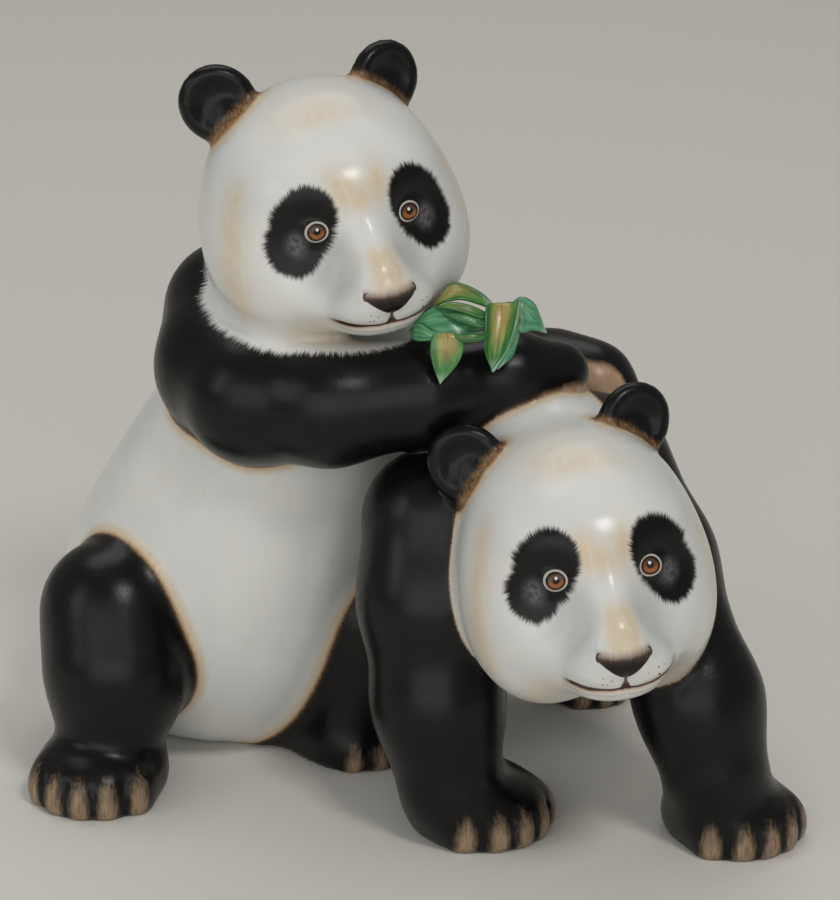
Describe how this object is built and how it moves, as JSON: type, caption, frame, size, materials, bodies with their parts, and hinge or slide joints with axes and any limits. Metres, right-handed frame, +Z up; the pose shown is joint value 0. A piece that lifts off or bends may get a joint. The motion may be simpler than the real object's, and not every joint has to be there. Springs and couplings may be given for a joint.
{
  "type": "panda figurine",
  "caption": "Hand-painted glazed porcelain group of a seated panda leaning its arms over a standing panda, with a sprig of leaves at its mouth.",
  "frame": {"origin": "middle of the footprint, on the surface that the figurine stands on", "axes": "+Z up, -Y towards the viewer that both pandas face, +X to that viewer's right"},
  "size_m": [0.255, 0.214, 0.2494],
  "materials": {
    "glazed_porcelain": "satin glaze over hand painting: white body, black ears, arms, legs and eye patches with brushed edges, beige shading, green leaves"
  },
  "bodies": {
    "root": {"panda_pair": "glazed_porcelain"}
  },
  "joints": []
}
